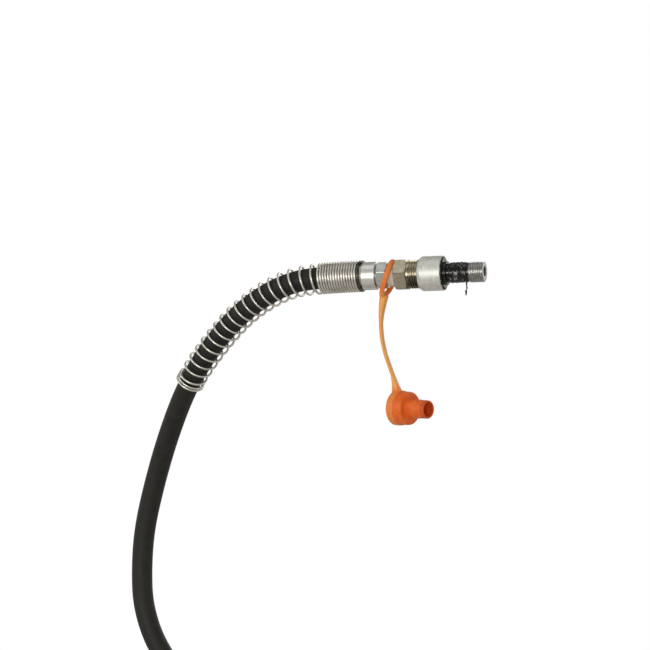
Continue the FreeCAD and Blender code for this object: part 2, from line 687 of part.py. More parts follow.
def dust_cap():
    """One soft moulding: the cap with its hollow nose, the strap and the ring round the neck."""
    rim, rad, length = size("cap_rim_rad"), size("cap_rad"), size("cap_len")
    nose_end = length + size("cap_nose_len")
    cap = turned("cap_moulding", [
        (ZERO, size("cap_bore_rad")), (ZERO, rim), (size("cap_rim_len"), rim), (size("cap_rim_len"), rad),
        (length - 1.2, rad), (length, rad - 1.2), (length, size("cap_nose_rad")),
        (nose_end, size("cap_nose_rad") - 0.4), (nose_end, size("cap_nose_bore")),
        (length + 1.5, size("cap_nose_bore")), (length + 1.5, ZERO), (size("cap_bore_len"), ZERO),
        (size("cap_bore_len"), size("cap_bore_rad"))])
    turn = Rotation(Vector(0, 0, 1), -read("cap_turn")) * Rotation(Vector(0, 1, 0), read("cap_tilt"))
    cap.Placement = Placement(Vector(-read("cap_station"), read("cap_side"), -read("cap_drop")), turn)
    half = size("loop_thick") * 0.5
    loop = turned("cap_loop", [
        (-half, size("loop_bore_rad")), (-half, size("loop_rad")), (half, size("loop_rad")), (half, size("loop_bore_rad"))])
    loop.Placement = Placement(
        Vector(-read("loop_station"), 0, -read("loop_drop")), Rotation(Vector(0, 1, 0), read("loop_tilt")))
    strap = doc.addObject("Part::Feature", "cap_strap")
    strap.Shape = band(STRAP_ROUTE, read("strap_width"), read("strap_thick"))
    moulding = doc.addObject("Part::MultiFuse", "dust_cap")
    moulding.Shapes = [cap, loop, strap]
    # It hangs with its weight straight below the coupler axis.
    finish("dust_cap", moulding, Placement(Vector(), Rotation(Vector(1, 0, 0), read("cap_swing"))))


# --- assembly -------------------------------------------------------------------------------

port_nipple()
nipple_tape()
socket_body()
ring("collar_retaining_ring", size("ring_rad"), size("ring_wire_rad"),
     (size("ring_groove_from") + size("ring_groove_to")) * 0.5)
ring("coupler_seal", size("seal_rad"), size("seal_wire_rad"), (size("seal_from") + size("seal_to")) * 0.5)
collar()
plug_body()
for half, sign in (("socket", -1), ("plug", 1)):
    poppet(half + "_poppet", sign)
    guide(half + "_valve_guide", sign)
    valve_spring(half + "_valve_spring", sign)
fitting_tape()
for end, placement in hose_end_places().items():
    hose_fitting(end + "_hose_fitting", placement)
    ferrule(end + "_ferrule", placement)
    hose_end_layers(end, placement)
hose()
coil_tie()
spring_guard()
dust_cap()
doc.recompute()

faults = []
for item in doc.Objects:
    if "Invalid" in item.State or "Error" in item.State:
        faults.append("%s: %s" % (item.Name, item.State))
for name, item in finished.items():
    shape = item.Shape
    if shape.isNull() or not shape.isValid() or len(shape.Solids) < 1:
        faults.append("%s: bad shape" % name)
if faults:
    raise RuntimeError("; ".join(faults))

os.makedirs("parts", exist_ok=True)
for name, item in finished.items():
    item.Shape.exportStep("parts/%s.step" % name)
    box = item.Shape.BoundBox
    print("%-24s %9.1f mm3  x %7.1f %7.1f  y %6.1f %6.1f  z %7.1f %7.1f" % (
        name, item.Shape.Volume, box.XMin, box.XMax, box.YMin, box.YMax, box.ZMin, box.ZMax))
print("%d sub-parts" % len(finished))
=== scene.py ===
"""Looks of the hydraulic hose assembly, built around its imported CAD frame. All lengths are in metres."""
import math
import random

import bmesh
import bpy
from mathutils import Matrix, Vector, noise


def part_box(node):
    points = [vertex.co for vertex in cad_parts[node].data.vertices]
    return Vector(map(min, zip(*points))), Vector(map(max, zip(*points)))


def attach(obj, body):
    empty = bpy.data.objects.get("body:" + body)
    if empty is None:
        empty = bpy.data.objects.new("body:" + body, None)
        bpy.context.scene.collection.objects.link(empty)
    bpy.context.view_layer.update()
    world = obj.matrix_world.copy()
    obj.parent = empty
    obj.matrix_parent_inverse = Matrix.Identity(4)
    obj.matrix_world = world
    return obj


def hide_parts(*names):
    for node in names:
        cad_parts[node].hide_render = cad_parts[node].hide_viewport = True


MM = 0.001
TURN = 2 * math.pi
RNG = random.Random(7)
X_AXIS = Vector((1, 0, 0))
Y_AXIS = Vector((0, 1, 0))

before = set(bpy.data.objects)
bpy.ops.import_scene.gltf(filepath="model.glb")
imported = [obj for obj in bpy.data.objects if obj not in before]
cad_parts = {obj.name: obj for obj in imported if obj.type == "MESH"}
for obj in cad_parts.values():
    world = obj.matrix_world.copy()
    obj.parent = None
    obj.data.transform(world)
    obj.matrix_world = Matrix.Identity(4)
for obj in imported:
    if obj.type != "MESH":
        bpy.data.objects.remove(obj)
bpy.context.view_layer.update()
scene = bpy.context.scene

# The floor's height in metres: the coil's tie lies on it.
FLOOR_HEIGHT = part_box("coil_tie")[0][2]

# Stations in millimetres: where a piece starts, from the port's face towards the hose.
NIPPLE_START = -12
NIPPLE_TAPE_START = 1.2
SOCKET_START = 17.6
COLLAR_START = 20.6
PLUG_START = 33.0
FITTING_START = 51.4
NECK_TAPE_START = 59.8

# Sizes in millimetres, the same as in CAD. A bore is given by its radius.
NIPPLE_RADIUS = 8.3
NIPPLE_NECK_RADIUS = 7.6
NIPPLE_BORE = 4.0
FLANGE_RADIUS = 12.0
BARREL_RADIUS = 9.3
VALVE_BORE = 6.3
SEAT_BORE = 3.6
COLLAR_RADIUS = 13.7
COUPLER_THREAD_RADIUS = 11.35
COUPLER_HEX_FLATS = 23.0
FITTING_THREAD_RADIUS = 8.6
FITTING_THREAD_LENGTH = 15.0
FITTING_HEX_END = 22.7
FITTING_HEX_FLATS = 19.0
FITTING_HEX_TWIST = 11.6    # degrees
FITTING_BORE = 2.4
BARB_COUNT = 8
BARB_PITCH = 4.0
FERRULE_START = 23.8
LIP_END = 25.8              # the end of the lip that holds the ferrule
FERRULE_RADIUS = 11.1
FERRULE_CRIMPED_RADIUS = 10.3
CRIMP_DIES = 8
HOSE_END_LENGTH = 61.6      # from the fitting's tip to the open end of the ferrule
HOSE_RADIUS = 8.7
WIRE_RADIUS = 0.92
GUARD_CLOSED_RADIUS = 11.6
GUARD_OPEN_RADIUS = 11.05
GUARD_CLOSED_TURNS = 16
GUARD_CLOSED_PITCH = 2.17
GUARD_STEP_PITCH = 4.3      # the half turn in which the guard opens out
GUARD_OPEN_FROM = 16.5      # turns
GUARD_OPEN_TURNS = 17.5
GUARD_OPEN_PITCH = 8.55
GUARD_END_TURNS = 2.5
GUARD_END_PITCH = 2.4
CAP_RADIUS = 13.9
CAP_BORE = 11.7
CAP_NOSE_RADIUS = 7.5
CAP_NOSE_BORE = 5.7

# Threads: depth and pitch, and the chamfer on the first turns.
PIPE_THREAD = (0.95, 1.41)
COUPLER_THREAD = (1.0, 2.0)
THREAD_LEAD = 0.8


# --- camera, light and floor ------------------------------

def make_camera():
    """A long lens, slightly below the coupler and to the right of it."""
    azimuth, pitch, roll = (math.radians(angle) for angle in (17.6, 2.5, 1.2))
    forward = Vector((-math.sin(azimuth) * math.cos(pitch), math.cos(azimuth) * math.cos(pitch),
                      math.sin(pitch)))
    level = Vector((math.cos(azimuth), math.sin(azimuth), 0))
    upright = level.cross(forward)
    right = level * math.cos(roll) - upright * math.sin(roll)
    up = level * math.sin(roll) + upright * math.cos(roll)
    camera = bpy.data.objects.new("camera", bpy.data.cameras.new("camera"))
    camera.data.lens = 166.15
    camera.data.sensor_width = 36
    camera.data.clip_end = 50
    turn = Matrix((right, up, -forward)).transposed()
    camera.matrix_world = Matrix.Translation((0.59775, -2.26118, -0.14099)) @ turn.to_4x4()
    scene.collection.objects.link(camera)
    scene.camera = camera


def make_light(name, place, target, size, power, tint=(1, 1, 1)):
    """A square softbox at a place, facing a target."""
    light = bpy.data.lights.new(name, "AREA")
    light.shape = "RECTANGLE"
    light.size, light.size_y = size
    light.energy = power
    light.color = tint
    lamp = bpy.data.objects.new(name, light)
    lamp.location = place
    lamp.rotation_euler = (Vector(target) - Vector(place)).to_track_quat("-Z", "Y").to_euler()
    scene.collection.objects.link(lamp)


def make_world():
    """A white room: plain white behind the object, and softer above and below for the metal."""
    world = bpy.data.worlds.new("studio")
    world.use_nodes = True
    scene.world = world
    tree = world.node_tree
    tree.nodes.clear()
    new = tree.nodes.new
    place, split = new("ShaderNodeTexCoord"), new("ShaderNodeSeparateXYZ")
    half, ramp = new("ShaderNodeMapRange"), new("ShaderNodeValToRGB")
    light, seen = new("ShaderNodeBackground"), new("ShaderNodeBackground")
    path, mix = new("ShaderNodeLightPath"), new("ShaderNodeMixShader")
    out = new("ShaderNodeOutputWorld")
    half.inputs["From Min"].default_value = -1
    stops = ramp.color_ramp.elements
    stops[0].position, stops[0].color = 0.0, (0.07, 0.07, 0.07, 1)
    stops[1].position, stops[1].color = 1.0, (0.30, 0.30, 0.30, 1)
    for position, level in ((0.3, 0.16), (0.45, 0.5), (0.53, 0.85), (0.62, 0.5), (0.8, 0.3)):
        stop = stops.new(position)
        stop.color = (level, level * 0.985, level * 0.95, 1)
    seen.inputs["Color"].default_value = (1, 1, 1, 1)
    seen.inputs["Strength"].default_value = 1.0
    light.inputs["Strength"].default_value = 1.0
    link = tree.links.new
    link(place.outputs["Generated"], split.inputs["Vector"])
    link(split.outputs["Z"], half.inputs["Value"])
    link(half.outputs["Result"], ramp.inputs["Fac"])
    link(ramp.outputs["Color"], light.inputs["Color"])
    link(path.outputs["Is Camera Ray"], mix.inputs["Fac"])
    link(light.outputs["Background"], mix.inputs[1])
    link(seen.outputs["Background"], mix.inputs[2])
    link(mix.outputs["Shader"], out.inputs["Surface"])


def make_floor():
    """A pale round floor under the coil that fades into the white round it."""
    mesh = bpy.data.meshes.new("floor")
    work = bmesh.new()
    bmesh.ops.create_circle(work, cap_ends=True, segments=96, radius=1.6)
    work.to_mesh(mesh)
    work.free()
    floor = bpy.data.objects.new("floor", mesh)
    floor.location = (-0.14, 0.05, FLOOR_HEIGHT - 0.0002)
    scene.collection.objects.link(floor)
    paint = bpy.data.materials.new("floor_paint")
    paint.use_nodes = True
    tree = paint.node_tree
    new, link = tree.nodes.new, tree.links.new
    surface = tree.nodes["Principled BSDF"]
    surface.inputs["Base Color"].default_value = (0.86, 0.86, 0.85, 1)
    surface.inputs["Roughness"].default_value = 0.7
    place, far = new("ShaderNodeTexCoord"), new("ShaderNodeVectorMath")
    fade, clear, mix = new("ShaderNodeMapRange"), new("ShaderNodeBsdfTransparent"), new("ShaderNodeMixShader")
    far.operation = "LENGTH"
    fade.interpolation_type = "SMOOTHSTEP"
    fade.inputs["From Min"].default_value = 0.35
    fade.inputs["From Max"].default_value = 0.95
    link(place.outputs["Object"], far.inputs[0])
    link(far.outputs["Value"], fade.inputs["Value"])
    link(fade.outputs["Result"], mix.inputs["Fac"])
    link(surface.outputs["BSDF"], mix.inputs[1])
    link(clear.outputs["BSDF"], mix.inputs[2])
    link(mix.outputs["Shader"], tree.nodes["Material Output"].inputs["Surface"])
    mesh.materials.append(paint)


# --- materials --------------------------------------------

class Finish:
    """A Principled material whose colour, roughness and bump are built up from noise and waves."""

    def __init__(self, name, colour, roughness, metallic=0.0, **constants):
        self.material = bpy.data.materials.new(name)
        self.material.use_nodes = True
        self.tree = self.material.node_tree
        self.shader = self.tree.nodes["Principled BSDF"]
        self.shader.inputs["Base Color"].default_value = (*colour, 1)
        self.shader.inputs["Roughness"].default_value = roughness
        self.shader.inputs["Metallic"].default_value = metallic
        for socket, value in constants.items():
            self.shader.inputs[socket.replace("_", " ")].default_value = value
        self.place = self.tree.nodes.new("ShaderNodeTexCoord").outputs["Object"]
        self.normal = None

    def node(self, kind, **settings):
        """Adds a node and sets its properties."""
        made = self.tree.nodes.new("ShaderNode" + kind)
        for key, value in settings.items():
            setattr(made, key, value)
        return made

    def feed(self, socket, source):
        """Joins an output to an input, or sets the input to a number."""
        if isinstance(source, (int, float, tuple)):
            socket.default_value = source
        else:
            self.tree.links.new(source, socket)

    def texture(self, kind, output, inputs, **settings):
        """Adds a texture of the place on the piece and sets its inputs."""
        made = self.node(kind, **settings)
        for key, value in inputs.items():
            made.inputs[key].default_value = value
        self.feed(made.inputs["Vector"], self.place)
        return made.outputs[output]

    def noise(self, scale, detail=4, rough=0.6, distortion=0.0):
        """Cloudy noise. The scale is in features per metre."""
        inputs = {"Scale": scale, "Detail": detail, "Roughness": rough, "Distortion": distortion}
        return self.texture("TexNoise", "Fac", inputs)

    def cells(self, scale):
        """Distance from the nearest of scattered points."""
        return self.texture("TexVoronoi", "Distance", {"Scale": scale})

    def along(self, axis):
        """The distance along an axis in metres."""
        split = self.node("SeparateXYZ")
        self.feed(split.inputs[0], self.place)
        return split.outputs[axis]

    def waves(self, scale, axis="X", distortion=0.0):
        """Straight bands across an axis."""
        inputs = {"Scale": scale, "Distortion": distortion}
        return self.texture("TexWave", "Fac", inputs, bands_direction=axis)

    def spread(self, source, low, high, from_low=0.3, from_high=0.7):
        """Maps a range of a texture to a range of a number, smoothly."""
        made = self.node("MapRange", interpolation_type="SMOOTHSTEP")
        ends = {"From Min": from_low, "From Max": from_high, "To Min": low, "To Max": high}
        for key, value in ends.items():
            made.inputs[key].default_value = value
        self.feed(made.inputs["Value"], source)
        return made.outputs["Result"]

    def blend(self, factor, first, second):
        """Mixes two colours."""
        made = self.node("Mix", data_type="RGBA")
        self.feed(made.inputs[0], factor)
        for socket, value in ((made.inputs[6], first), (made.inputs[7], second)):
            self.feed(socket, (*value, 1) if isinstance(value, tuple) else value)
        return made.outputs[2]

    def sums(self, first, second, operation="ADD"):
        """Arithmetic on two numbers."""
        made = self.node("Math", operation=operation)
        self.feed(made.inputs[0], first)
        self.feed(made.inputs[1], second)
        return made.outputs[0]

    def bump(self, height, strength, distance=0.0002):
        """Adds relief on top of what is there."""
        made = self.node("Bump")
        made.inputs["Strength"].default_value = strength
        made.inputs["Distance"].default_value = distance
        self.feed(made.inputs["Height"], height)
        if self.normal:
            self.feed(made.inputs["Normal"], self.normal)
        self.normal = made.outputs["Normal"]
        self.feed(self.shader.inputs["Normal"], self.normal)

    def colour(self, source):
        self.feed(self.shader.inputs["Base Color"], source)

    def roughness(self, source):
        self.feed(self.shader.inputs["Roughness"], source)


def plated_steel(name, light, dark, roughness, grain=0.5, stain=None, rings=0.0, lower_shade=None):
    """Zinc or nickel plate on turned steel: cloudy plating, dull stains, and painted shade that darkens the
    lower side of the coupler's thread.
    """
    finish = Finish(name, light, roughness, metallic=1.0)
    clouds = finish.noise(260, detail=6)
    tone = finish.blend(finish.spread(clouds, 0, 1), light, dark)
    if stain:
        spots = finish.spread(finish.noise(420, detail=8, rough=0.7), 0, 0.55, 0.56, 0.72)
        tone = finish.blend(spots, tone, stain)
    if lower_shade:
        # Painted shade: the coupler's thread, and faintly its hexagon, turn darker towards the bottom.
        low = finish.spread(finish.along("Z"), 1, 0, -0.008, 0.004)
        threads = finish.spread(finish.along("X"), 0.1, 0.85, -0.0502, -0.0490)
        tone = finish.blend(finish.sums(low, threads, "MULTIPLY"), tone, lower_shade)
    finish.colour(tone)
    fine = finish.noise(1500, detail=3)
    wear = finish.sums(clouds, fine, "MULTIPLY")
    finish.roughness(finish.spread(wear, roughness * 0.85, roughness * 1.25, 0.1, 0.45))
    finish.bump(finish.noise(420, detail=4), grain * 0.25, 0.00008)
    if rings:
        finish.bump(finish.waves(900, distortion=1.5), rings, 0.00002)
    return finish.material


def mottled_zinc():
    """The collar: matt zinc with pits and pale blotches, and black overspray on its rear edge."""
    finish = Finish("collar_zinc", (0.86, 0.86, 0.80), 0.4, metallic=0.85)
    blotches = finish.noise(330, detail=8, rough=0.72, distortion=0.4)
    tone = finish.blend(finish.spread(blotches, 0, 1, 0.34, 0.66), (0.69, 0.70, 0.65), (0.89, 0.89, 0.83))
    specks = finish.spread(finish.noise(1900, detail=4), 0, 0.5, 0.62, 0.75)
    tone = finish.blend(specks, tone, (0.55, 0.56, 0.53))
    edge = finish.sums(finish.along("X"), finish.spread(blotches, -0.0004, 0.0004))
    overspray = finish.spread(edge, 0, 1, -0.0214, -0.0208)
    finish.colour(finish.blend(overspray, tone, (0.012, 0.012, 0.011)))
    finish.feed(finish.shader.inputs["Metallic"], finish.spread(overspray, 0.85, 0, 0, 1))
    finish.roughness(finish.spread(blotches, 0.46, 0.6))
    finish.bump(finish.noise(330, detail=6), 0.3, 0.00012)
    finish.bump(finish.spread(finish.cells(1100), 0, 1, 0.05, 0.3), 0.1, 0.00003)
    return finish.material


def black_enamel(name, wrinkles=0.0, bare=None):
    """Glossy black paint with dust and sags. Threads of the tape under it may show through it."""
    finish = Finish(name, (0.006, 0.006, 0.0055), 0.12, Specular_IOR_Level=0.3, Coat_Weight=0.25,
                    Coat_Roughness=0.05)
    dust = finish.spread(finish.noise(600, detail=8), 0, 0.15, 0.62, 0.8)
    tone = finish.blend(dust, (0.004, 0.004, 0.0035), (0.03, 0.028, 0.024))
    if bare:
        cloud = finish.noise(150, detail=3, rough=0.55, distortion=1.2)
        rise, fall = finish.spread(cloud, 0, 1, 0.485, 0.497), finish.spread(cloud, 1, 0, 0.503, 0.515)
        gaps = finish.spread(finish.noise(260, detail=2), 0, 1, 0.46, 0.56)
        threads = finish.sums(finish.sums(rise, fall, "MULTIPLY"), gaps, "MULTIPLY")
        tone = finish.blend(threads, tone, bare)
    finish.colour(tone)
    finish.roughness(finish.spread(finish.noise(500, detail=5), 0.06, 0.16))
    finish.bump(finish.noise(220, detail=3), 0.2 + wrinkles, 0.0001)
    return finish.material


def wire_steel(name):
    """Drawn spring wire: bright, with a little tarnish, and nearly black as painted shade on the guard's
    first coils at the coupler end.
    """
    light, dark = (0.84, 0.81, 0.74), (0.66, 0.635, 0.58)
    finish = Finish(name, light, 0.26, metallic=1.0)
    tarnish = finish.noise(90, detail=3)
    tone = finish.blend(finish.spread(tarnish, 0, 0.7, 0.4, 0.72), light, dark)
    # Painted shade: the guard's first coils, at the coupler end, are coloured nearly black.
    end_coil_shade = finish.node("Attribute", attribute_name="end_coil_shade").outputs["Fac"]
    finish.colour(finish.blend(end_coil_shade, tone, (0.11, 0.10, 0.08)))
    finish.roughness(finish.spread(finish.noise(160, detail=3), 0.30, 0.38))
    finish.bump(finish.noise(700, detail=1), 0.02, 0.00002)
    return finish.material


def hose_rubber():
    """The hose's cover: matt brown-black rubber with a fine grain and grey scuffs."""
    finish = Finish("hose_cover_rubber", (0.018, 0.016, 0.013), 0.62, Specular_IOR_Level=0.35)
    clouds = finish.noise(140, detail=7)
    tone = finish.blend(finish.spread(clouds, 0, 1), (0.011, 0.010, 0.008), (0.024, 0.020, 0.015))
    scuffs = finish.spread(finish.noise(900, detail=9, rough=0.75), 0, 0.4, 0.6, 0.8)
    finish.colour(finish.blend(scuffs, tone, (0.06, 0.055, 0.048)))
    finish.roughness(finish.spread(clouds, 0.5, 0.72))
    finish.bump(finish.noise(3200, detail=2), 0.22, 0.00008)
    finish.bump(finish.noise(240, detail=4), 0.2, 0.0003)
    return finish.material


def thread_tape():
    """Pale sealing tape, wound and yellowed with thread paste."""
    finish = Finish("neck_tape", (0.92, 0.87, 0.74), 0.35, Sheen_Weight=0.2)
    folds = finish.waves(420, distortion=5)
    tone = finish.blend(finish.spread(folds, 0, 0.7), (0.96, 0.93, 0.84), (0.80, 0.70, 0.54))
    paste = finish.spread(finish.noise(520, detail=5), 0, 0.5, 0.55, 0.72)
    finish.colour(finish.blend(paste, tone, (0.55, 0.34, 0.18)))
    finish.bump(folds, 0.5, 0.0002)
    finish.bump(finish.noise(900, detail=5), 0.4, 0.0002)
    return finish.material


def soft_orange():
    """Soft orange moulding plastic: solid in the cap, paler and more see-through in the thin strap, and
    darker at the nose's end as painted shade.
    """
    finish = Finish("orange_moulding", (0.80, 0.17, 0.03), 0.42, Subsurface_Weight=0.35,
                    Subsurface_Scale=0.004, Specular_IOR_Level=0.3)
    finish.shader.inputs["Subsurface Radius"].default_value = (1.0, 0.45, 0.12)
    thin = finish.node("Attribute", attribute_name="thin").outputs["Fac"]
    dark = finish.node("Attribute", attribute_name="nose_end_shade").outputs["Fac"]
    clouds = finish.noise(160, detail=5)
    solid = finish.blend(finish.spread(clouds, 0, 1), (0.82, 0.135, 0.016), (0.95, 0.195, 0.026))
    # Painted shade: the end of the cap's nose is coloured darker.
    solid = finish.blend(dark, solid, (0.58, 0.085, 0.018))
    finish.colour(finish.blend(thin, solid, (1.0, 0.44, 0.11)))
    finish.roughness(finish.spread(finish.noise(700, detail=5), 0.34, 0.52))
    finish.bump(finish.noise(450, detail=5), 0.12, 0.0002)
    return finish.material


def tie_fabric():
    """Woven hook-and-loop strap."""
    finish = Finish("tie_weave", (0.03, 0.03, 0.03), 0.9, Sheen_Weight=0.5, Sheen_Roughness=0.5)
    across, along = finish.waves(520, "X"), finish.waves(520, "Z")
    weave = finish.sums(across, along, "MULTIPLY")
    lit = finish.spread(weave, 0, 1, 0.1, 0.7)
    finish.colour(finish.blend(lit, (0.014, 0.014, 0.015), (0.06, 0.06, 0.062)))
    finish.bump(weave, 0.6, 0.0002)
    finish.bump(finish.noise(2400, detail=4), 0.5, 0.0002)
    return finish.material


def dark_rubber(name):
    """Smooth black seal rubber with a faint bloom."""
    finish = Finish(name, (0.015, 0.015, 0.015), 0.4)
    bloom = finish.spread(finish.noise(500, detail=6), 0, 0.5)
    finish.colour(finish.blend(bloom, (0.010, 0.010, 0.010), (0.04, 0.04, 0.04)))
    finish.bump(finish.noise(1500, detail=3), 0.15, 0.0001)
    return finish.material


def wire_braid():
    """The hose's reinforcement: crossed steel wires."""
    finish = Finish("braid_wire", (0.6, 0.6, 0.6), 0.35, metallic=1.0)
    crossed = finish.sums(finish.waves(600, "DIAGONAL"), finish.waves(600, "X"), "MULTIPLY")
    finish.colour(finish.blend(crossed, (0.16, 0.16, 0.16), (0.7, 0.7, 0.68)))
    finish.bump(crossed, 0.8, 0.0002)
    return finish.material


# --- mesh tools -------------------------------------------

def show(name, mesh, material, body, replaces=(), sharp=38):
    """Makes a smooth piece from a mesh and puts it on its body."""
    piece = bpy.data.objects.new(name, mesh)
    scene.collection.objects.link(piece)
    mesh.materials.clear()
    mesh.materials.append(material)
    mesh.shade_smooth()
    if sharp:
        mesh.set_sharp_from_angle(angle=math.radians(sharp))
    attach(piece, body)
    if replaces:
        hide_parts(*replaces)
    return piece


def rounded(outline, steps=5):
    """An outline of (x, radius) or (x, radius, fillet) corners with the fillets drawn as arcs."""
    smooth = []
    count = len(outline)
    for index, corner in enumerate(outline):
        here = Vector(corner[:2])
        fillet = corner[2] if len(corner) > 2 else 0
        if not fillet:
            smooth.append(tuple(here))
            continue
        before = Vector(outline[index - 1][:2]) - here
        after = Vector(outline[(index + 1) % count][:2]) - here
        half = max(before.angle(after) / 2, 0.01)
        trim = min(fillet / math.tan(half), before.length * 0.49, after.length * 0.49)
        start, end = here + before.normalized() * trim, here + after.normalized() * trim
        for step in range(steps + 1):
            t = step / steps
            smooth.append(tuple(start * (1 - t) ** 2 + here * 2 * t * (1 - t) + end * t ** 2))
    return smooth


def step_up(value, start, length):
    """0 before the start, 1 after the length, and a straight rise between."""
    return min(1, max(0, (value - start) / length))


def settled(thing):
    """The mesh of an object with its modifiers applied. The object itself is removed."""
    mesh = bpy.data.meshes.new_from_object(thing.evaluated_get(bpy.context.evaluated_depsgraph_get()))
    bpy.data.objects.remove(thing)
    return mesh


def skinned(name, loops, joined=False):
    """A mesh over closed loops of points, one after another: joined into a ring, or with flat ends."""
    work = bmesh.new()
    rows = [[work.verts.new(point) for point in loop] for loop in loops]
    following = rows[1:] + rows[:1] if joined else rows[1:]
    for first, second in zip(rows, following):
        for index in range(len(first)):
            after = (index + 1) % len(first)
            work.faces.new((first[index], first[after], second[after], second[index]))
    if joined:
        bmesh.ops.remove_doubles(work, verts=work.verts, dist=1e-7)
        bmesh.ops.dissolve_degenerate(work, edges=work.edges, dist=1e-8)
    else:
        work.faces.new(list(reversed(rows[0])))
        work.faces.new(rows[-1])
    bmesh.ops.recalc_face_normals(work, faces=work.faces)
    mesh = bpy.data.meshes.new(name)
    work.to_mesh(mesh)
    work.free()
    return mesh


def revolved(name, rings, place, segments=128):
    """A closed mesh turned about x from rings of (x, radius) in millimetres. A radius may be a function."""
    loops = []
    for x, radius in rings:
        loop = []
        for index in range(segments):
            angle = TURN * index / segments
            reach = radius(x, angle) if callable(radius) else radius
            loop.append(Vector((x, reach * math.cos(angle), reach * math.sin(angle))) * MM)
        loops.append(loop)
    mesh = skinned(name, loops, joined=True)
    mesh.transform(place)
    return mesh


def station(distance):
    """The place of a piece whose own x axis starts at a station and runs towards the hose."""
    return Matrix.Translation((-distance * MM, 0, 0)) @ Matrix.Rotation(math.pi, 4, "Z")


def helix_radius(major, depth, pitch, start, end):
    """The radius of a thread: round-cornered flanks that run out at both ends."""
    def radius(x, angle):
        phase = (x / pitch - angle / TURN) % 1.0
        ridge = abs(2 * phase - 1)
        height = step_up(ridge, 0.12, 0.72)
        height = height * height * (3 - 2 * height)
        run_out = step_up(x, start, pitch) * step_up(-x, -end, pitch)
        return major - depth * (1 - height) * (0.35 + 0.65 * run_out)
    return radius


def threaded(start, end, major, depth, pitch):
    """The rings of a threaded stretch, chamfered at its start."""
    cut = helix_radius(major, depth, pitch, start - pitch, end + pitch)
    rings = []
    count = int((end - start) / pitch * 14)
    for index in range(count + 1):
        x = start + (end - start) * index / count
        limit = major - THREAD_LEAD + max(0, x - start)
        rings.append((x, lambda x, angle, limit=limit: min(cut(x, angle), limit)))
    return rings


def hexagon(start, end, flats, chamfer, twist=0.0):
    """The rings of a hexagon bar with slightly rounded edges and cone-chamfered ends."""
    corner = flats / math.sqrt(3)
    sharpness = 46

    def bar(angle):
        total = 0
        for side in range(3):
            turned = angle - math.radians(twist) - math.pi / 2 + side * math.pi / 3
            total += abs(math.cos(turned)) ** sharpness
        return flats / 2 / total ** (1 / sharpness)

    rings = []
    depth = chamfer * 1.7
    stops = [0, 0.15, 0.3, 0.45, 0.6, 0.8, 1.0]
    for t in stops:
        rings.append((start + chamfer * t, corner - depth * (1 - t)))
    for t in reversed(stops):
        rings.append((end - chamfer * t, corner - depth * (1 - t)))
    return [(x, lambda x, angle, limit=limit: min(bar(angle), limit)) for x, limit in rings]


def tube_mesh(name, points, radius, sides=14):
    """A round tube through many points, with its frame carried along the line."""
    angles = [TURN * side / sides for side in range(sides)]
    normal = None
    loops = []
    for index, point in enumerate(points):
        after, before = points[min(index + 1, len(points) - 1)], points[max(index - 1, 0)]
        tangent = (after - before).normalized()
        if normal is None:
            normal = tangent.orthogonal().normalized()
        normal = (normal - tangent * normal.dot(tangent)).normalized()
        across = tangent.cross(normal)
        size = radius[index] if isinstance(radius, list) else radius
        spokes = [normal * math.cos(angle) + across * math.sin(angle) for angle in angles]
        loops.append([point + spoke * size for spoke in spokes])
    return skinned(name, loops)


def spline_object(name, points, resolution, bevel=0.0):
    """A NURBS curve with the points as its control points."""
    curve = bpy.data.curves.new(name, "CURVE")
    curve.dimensions = "3D"
    curve.resolution_u = resolution
    line = curve.splines.new("NURBS")
    line.points.add(len(points) - 1)
    for point, where in zip(line.points, points):
        point.co = (*where, 1)
    line.order_u = 3
    line.use_endpoint_u = True
    curve.bevel_depth = bevel
    curve.bevel_resolution = 8
    curve.use_fill_caps = True
    thing = bpy.data.objects.new(name, curve)
    scene.collection.objects.link(thing)
    return thing


def spline_points(points, resolution=40):
    """Points read along the NURBS curve of a route."""
    mesh = settled(spline_object("guide", points, resolution=resolution))
    read = [vertex.co.copy() for vertex in mesh.vertices]
    bpy.data.meshes.remove(mesh)
    return read


class Track:
    """A line that gives its point and direction at a distance."""

    def __init__(self, points):
        self.points = points
        self.lengths = [0.0]
        for first, second in zip(points, points[1:]):
            self.lengths.append(self.lengths[-1] + (second - first).length)

    def at(self, distance):
        index = 0
        while index < len(self.lengths) - 2 and self.lengths[index + 1] < distance:
            index += 1
        first, second = self.points[index], self.points[index + 1]
        t = (distance - self.lengths[index]) / max(self.lengths[index + 1] - self.lengths[index], 1e-9)
        before = self.points[max(index - 1, 0)]
        after = self.points[min(index + 2, len(self.points) - 1)]
        early, late = (second - before).normalized(), (after - first).normalized()
        return first.lerp(second, t), early.lerp(late, min(max(t, 0), 1)).normalized()


# --- cord -------------------------------------------------

BEND_TILT = Matrix.Rotation(math.radians(32.0), 4, "X")
BEND_ROUTE = [BEND_TILT @ Vector((x, 0, z)) * MM for x, z in (
    (-113.0, 0.0), (-133.0, 0.0), (-156.0, -6.0), (-178.6, -17.7), (-200.2, -33.4), (-220.3, -52.9),
    (-238.6, -73.8), (-255.6, -96.9), (-271.8, -124.1))]
HANGING_ROUTE = [Vector(place) * MM for place in (
    (-288.8, 80.5, -135.2), (-304.0, 92.0, -170.4), (-314.0, 98.5, -201.6), (-317.9, 101.5, -232.6),
    (-317.5, 102.0, -263.1), (-307.2, 102.0, -294.9), (-287.6, 102.0, -321.9), (-260.6, 102.0, -341.5),
    (-228.8, 102.0, -351.8))]
HOSE_ROUTE = BEND_ROUTE + HANGING_ROUTE
GUARD_ROUTE = [Vector((x, 0, z)) * MM for x, z in (
    (-86.8, 0.0), (-131.0, 0.0), (-155.8, -6.5), (-178.2, -18.4), (-199.6, -34.1), (-219.6, -53.5),
    (-238.3, -74.0), (-255.9, -96.7), (-268.2, -117.6))]
